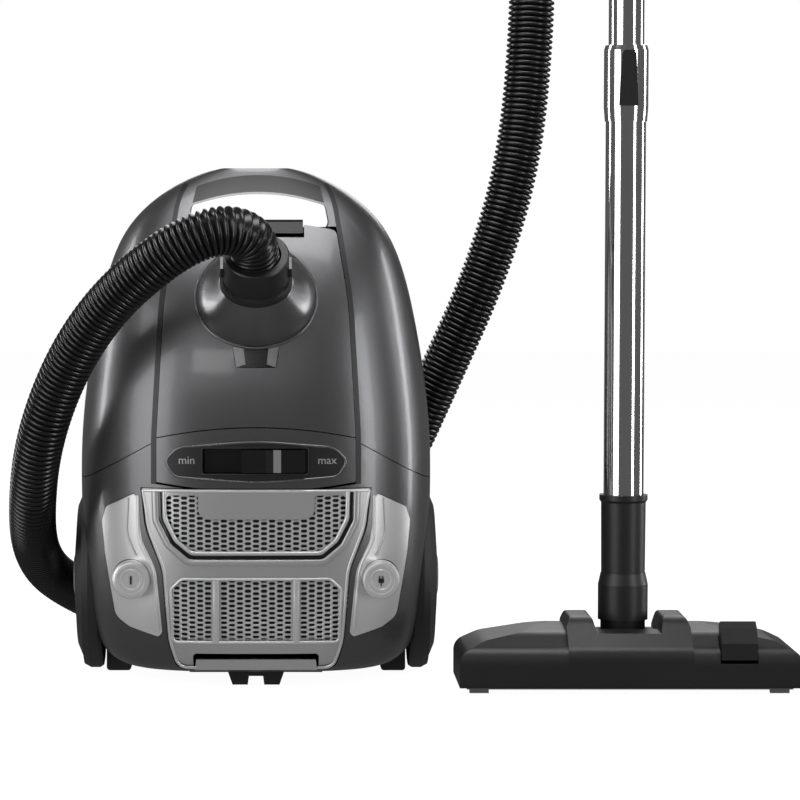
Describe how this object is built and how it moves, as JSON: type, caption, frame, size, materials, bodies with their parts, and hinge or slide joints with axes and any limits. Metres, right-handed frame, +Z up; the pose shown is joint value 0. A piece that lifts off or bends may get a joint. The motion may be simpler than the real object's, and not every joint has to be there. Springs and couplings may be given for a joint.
{
  "type": "canister vacuum cleaner",
  "caption": "Canister vacuum cleaner parked on its rear end, with corrugated suction hose, telescopic wand and floor head.",
  "frame": {"origin": "middle of the flat rest face on the machine's rear end, level with the wheel axles", "axes": "+X to the machine's right seen from its top cover, +Y from the cover to the underside, +Z up, which is towards the carrying handle"},
  "size_m": [0.6715, 0.3831, 0.9853],
  "materials": {
    "graphite_paint": "metallic satin",
    "silver_paint": "metallic satin",
    "black_plastic": "fine texture",
    "black_gloss": "gloss",
    "smoke_window": "gloss",
    "soft_rubber": "matt",
    "tyre_rubber": "matt",
    "chrome_tube": "polished",
    "steel": "brushed",
    "filter_paper": "matt",
    "bag_fleece": "matt",
    "board": "satin",
    "copper_rotor": "brushed",
    "hose_plastic": "satin",
    "bristle": "matt"
  },
  "bodies": {
    "machine": {"chassis": "black_plastic", "upper_frame": "graphite_paint", "rear_housing": "graphite_paint", "carry_handle": "graphite_paint", "handle_grip": "soft_rubber", "trim_strips": "black_plastic", "right_pod": "silver_paint", "left_pod": "silver_paint", "control_panel": "graphite_paint", "parking_slot": "black_plastic", "wheel_axles": "steel", "bag_chamber": "black_plastic", "dust_bag": "bag_fleece", "bag_holder": "black_plastic", "motor_filter": "filter_paper", "motor_housing": "black_plastic", "reel_axle": "steel", "hepa_filter": "filter_paper", "circuit_board": "board", "cable_grommet": "soft_rubber", "housing_screws": "steel", "hose": "hose_plastic", "upper_tube": "chrome_tube", "wand_handle": "black_plastic", "hose_end_cuff": "black_plastic"},
    "lid": {"lid": "graphite_paint", "indicator_window": "smoke_window", "inlet_boss": "silver_paint", "inlet_seal": "soft_rubber"},
    "lid_latch": {"lid_latch": "black_plastic"},
    "connector": {"hose_connector": "black_plastic"},
    "right_release": {"right_release": "black_gloss"},
    "left_release": {"left_release": "black_gloss"},
    "exhaust_door": {"exhaust_panel": "silver_paint", "upper_grille": "black_gloss", "lower_grille": "black_gloss"},
    "filter_latch": {"filter_latch": "silver_paint"},
    "power_slider": {"power_slider": "black_gloss"},
    "power_button": {"power_button": "silver_paint"},
    "rewind_button": {"rewind_button": "silver_paint"},
    "right_wheel": {"right_wheel": "black_plastic", "right_tyre": "tyre_rubber", "right_hub_cap": "silver_paint"},
    "left_wheel": {"left_wheel": "black_plastic", "left_tyre": "tyre_rubber", "left_hub_cap": "silver_paint"},
    "caster": {"caster_fork": "black_plastic"},
    "caster_wheel": {"caster_wheel": "tyre_rubber"},
    "motor_rotor": {"motor_rotor": "copper_rotor"},
    "cable_reel": {"cable_reel": "black_plastic"},
    "lower_tube": {"lower_tube": "chrome_tube", "tube_collar": "chrome_tube"},
    "tube_button": {"tube_button": "black_plastic"},
    "neck": {"neck_tube": "black_plastic", "neck_elbow": "black_plastic"},
    "floor_head": {"head_shell": "black_gloss", "sole_plate": "steel", "pivot_pin": "steel"},
    "brush_carrier": {"brush_carrier": "bristle"},
    "pedal": {"pedal": "black_plastic"}
  },
  "joints": [
    {"name": "lid_hinge", "type": "hinge", "parent": "machine", "child": "lid", "pos_m": [0, -0.1535, 0.2132], "axis": [1, 0, 0], "range_deg": [0, 70], "deforming": ["hose"]},
    {"name": "lid_latch_slide", "type": "slide", "parent": "lid", "child": "lid_latch", "axis": [0, 0.7878, -0.6159], "range_m": [0, 0.003], "stiffness_N_per_m": 900},
    {"name": "connector_swivel", "type": "hinge", "parent": "lid", "child": "connector", "pos_m": [0, -0.15, 0.345], "axis": [0, -0.6947, 0.7193], "continuous": true},
    {"name": "right_release_press", "type": "slide", "parent": "connector", "child": "right_release", "axis": [-1, 0, 0], "range_m": [0, 0.002], "stiffness_N_per_m": 900},
    {"name": "left_release_press", "type": "slide", "parent": "connector", "child": "left_release", "axis": [1, 0, 0], "range_m": [0, 0.002], "stiffness_N_per_m": 900},
    {"name": "door_hinge", "type": "hinge", "parent": "machine", "child": "exhaust_door", "pos_m": [0, -0.1548, 0.1712], "axis": [-1, 0, 0], "range_deg": [0, 60]},
    {"name": "filter_latch_slide", "type": "slide", "parent": "exhaust_door", "child": "filter_latch", "axis": [0, 0, 1], "range_m": [0, 0.004], "stiffness_N_per_m": 900},
    {"name": "power_slider_slide", "type": "slide", "parent": "machine", "child": "power_slider", "axis": [-1, 0, 0], "range_m": [0, 0.031]},
    {"name": "power_button_press", "type": "slide", "parent": "machine", "child": "power_button", "axis": [0, 1, 0], "range_m": [0, 0.004], "stiffness_N_per_m": 1500},
    {"name": "rewind_button_press", "type": "slide", "parent": "machine", "child": "rewind_button", "axis": [0, 1, 0], "range_m": [0, 0.004], "stiffness_N_per_m": 1500},
    {"name": "right_wheel_spin", "type": "hinge", "parent": "machine", "child": "right_wheel", "pos_m": [0.147, 0, 0.083], "axis": [1, 0, 0], "continuous": true},
    {"name": "left_wheel_spin", "type": "hinge", "parent": "machine", "child": "left_wheel", "pos_m": [-0.147, 0, 0.083], "axis": [1, 0, 0], "continuous": true},
    {"name": "caster_swivel", "type": "hinge", "parent": "machine", "child": "caster", "pos_m": [0, 0.064, 0.31], "axis": [0, 1, 0], "continuous": true},
    {"name": "caster_wheel_spin", "type": "hinge", "parent": "caster", "child": "caster_wheel", "pos_m": [0, 0.0645, 0.3], "axis": [1, 0, 0], "continuous": true},
    {"name": "motor_spin", "type": "hinge", "parent": "machine", "child": "motor_rotor", "pos_m": [0.054, -0.048, 0.1], "axis": [0, 0, 1], "continuous": true},
    {"name": "reel_spin", "type": "hinge", "parent": "machine", "child": "cable_reel", "pos_m": [-0.06, -0.032, 0.118], "axis": [0, 1, 0], "continuous": true},
    {"name": "wand_telescope", "type": "slide", "parent": "machine", "child": "lower_tube", "axis": [0, 0, 1], "range_m": [0, 0.25]},
    {"name": "tube_button_slide", "type": "slide", "parent": "lower_tube", "child": "tube_button", "axis": [0, 0, -1], "range_m": [0, 0.006], "stiffness_N_per_m": 900},
    {"name": "neck_swivel", "type": "hinge", "parent": "lower_tube", "child": "neck", "pos_m": [0.313, -0.1, 0.16], "axis": [0, 0, 1], "range_deg": [-90, 90]},
    {"name": "head_tilt", "type": "hinge", "parent": "neck", "child": "floor_head", "pos_m": [0.313, -0.1, 0.034], "axis": [1, 0, 0], "range_deg": [0, 70]},
    {"name": "pedal_rock", "type": "hinge", "parent": "floor_head", "child": "pedal", "pos_m": [0.403, -0.161, 0.045], "axis": [-1, 0, 0], "range_deg": [0, 9]},
    {"name": "brush_lift", "type": "slide", "parent": "floor_head", "child": "brush_carrier", "axis": [0, 0, -1], "range_m": [0, 0.0055]}
  ],
  "couplings": [
    {"joint": "brush_lift", "follows": "pedal_rock", "m_per_rad": 0.034975}
  ]
}
